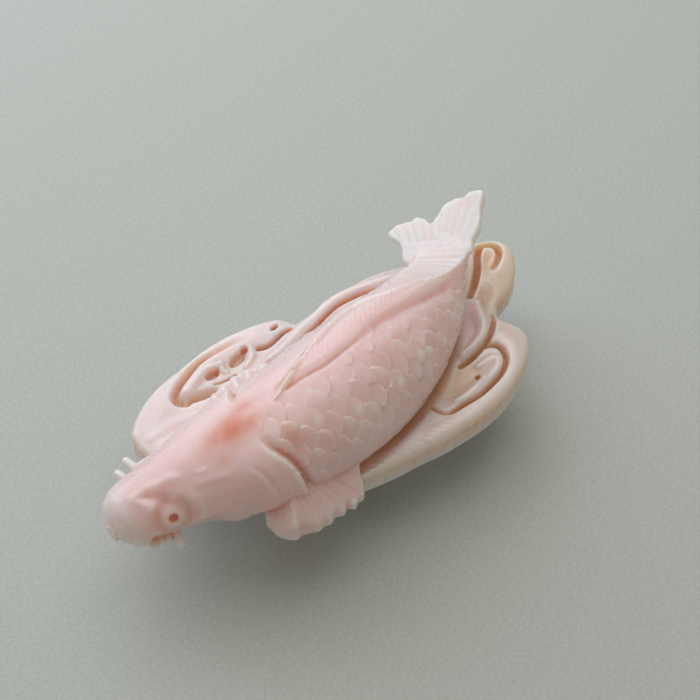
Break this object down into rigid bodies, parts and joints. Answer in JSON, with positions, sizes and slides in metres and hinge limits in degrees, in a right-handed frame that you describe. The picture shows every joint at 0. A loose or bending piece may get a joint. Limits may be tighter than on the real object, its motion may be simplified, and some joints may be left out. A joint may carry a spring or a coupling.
{
  "type": "obidome",
  "caption": "Carved coral carp on a bed of waves, with a metal fitting behind it that slides on a flat sash cord.",
  "frame": {"origin": "middle of the underside of the whole piece's box, on the surface that the fitting stands on", "axes": "+X from the carp's head to its tail along the sash cord, +Y towards its right flank, +Z out of the sash, away from the wearer"},
  "size_m": [0.0482, 0.0232, 0.0175],
  "materials": {
    "coral": "polished pale pink coral, slightly translucent",
    "fitting_metal": "satin silver-coloured metal"
  },
  "bodies": {
    "root": {"coral_carving": "coral", "back_fitting": "fitting_metal"}
  },
  "joints": []
}
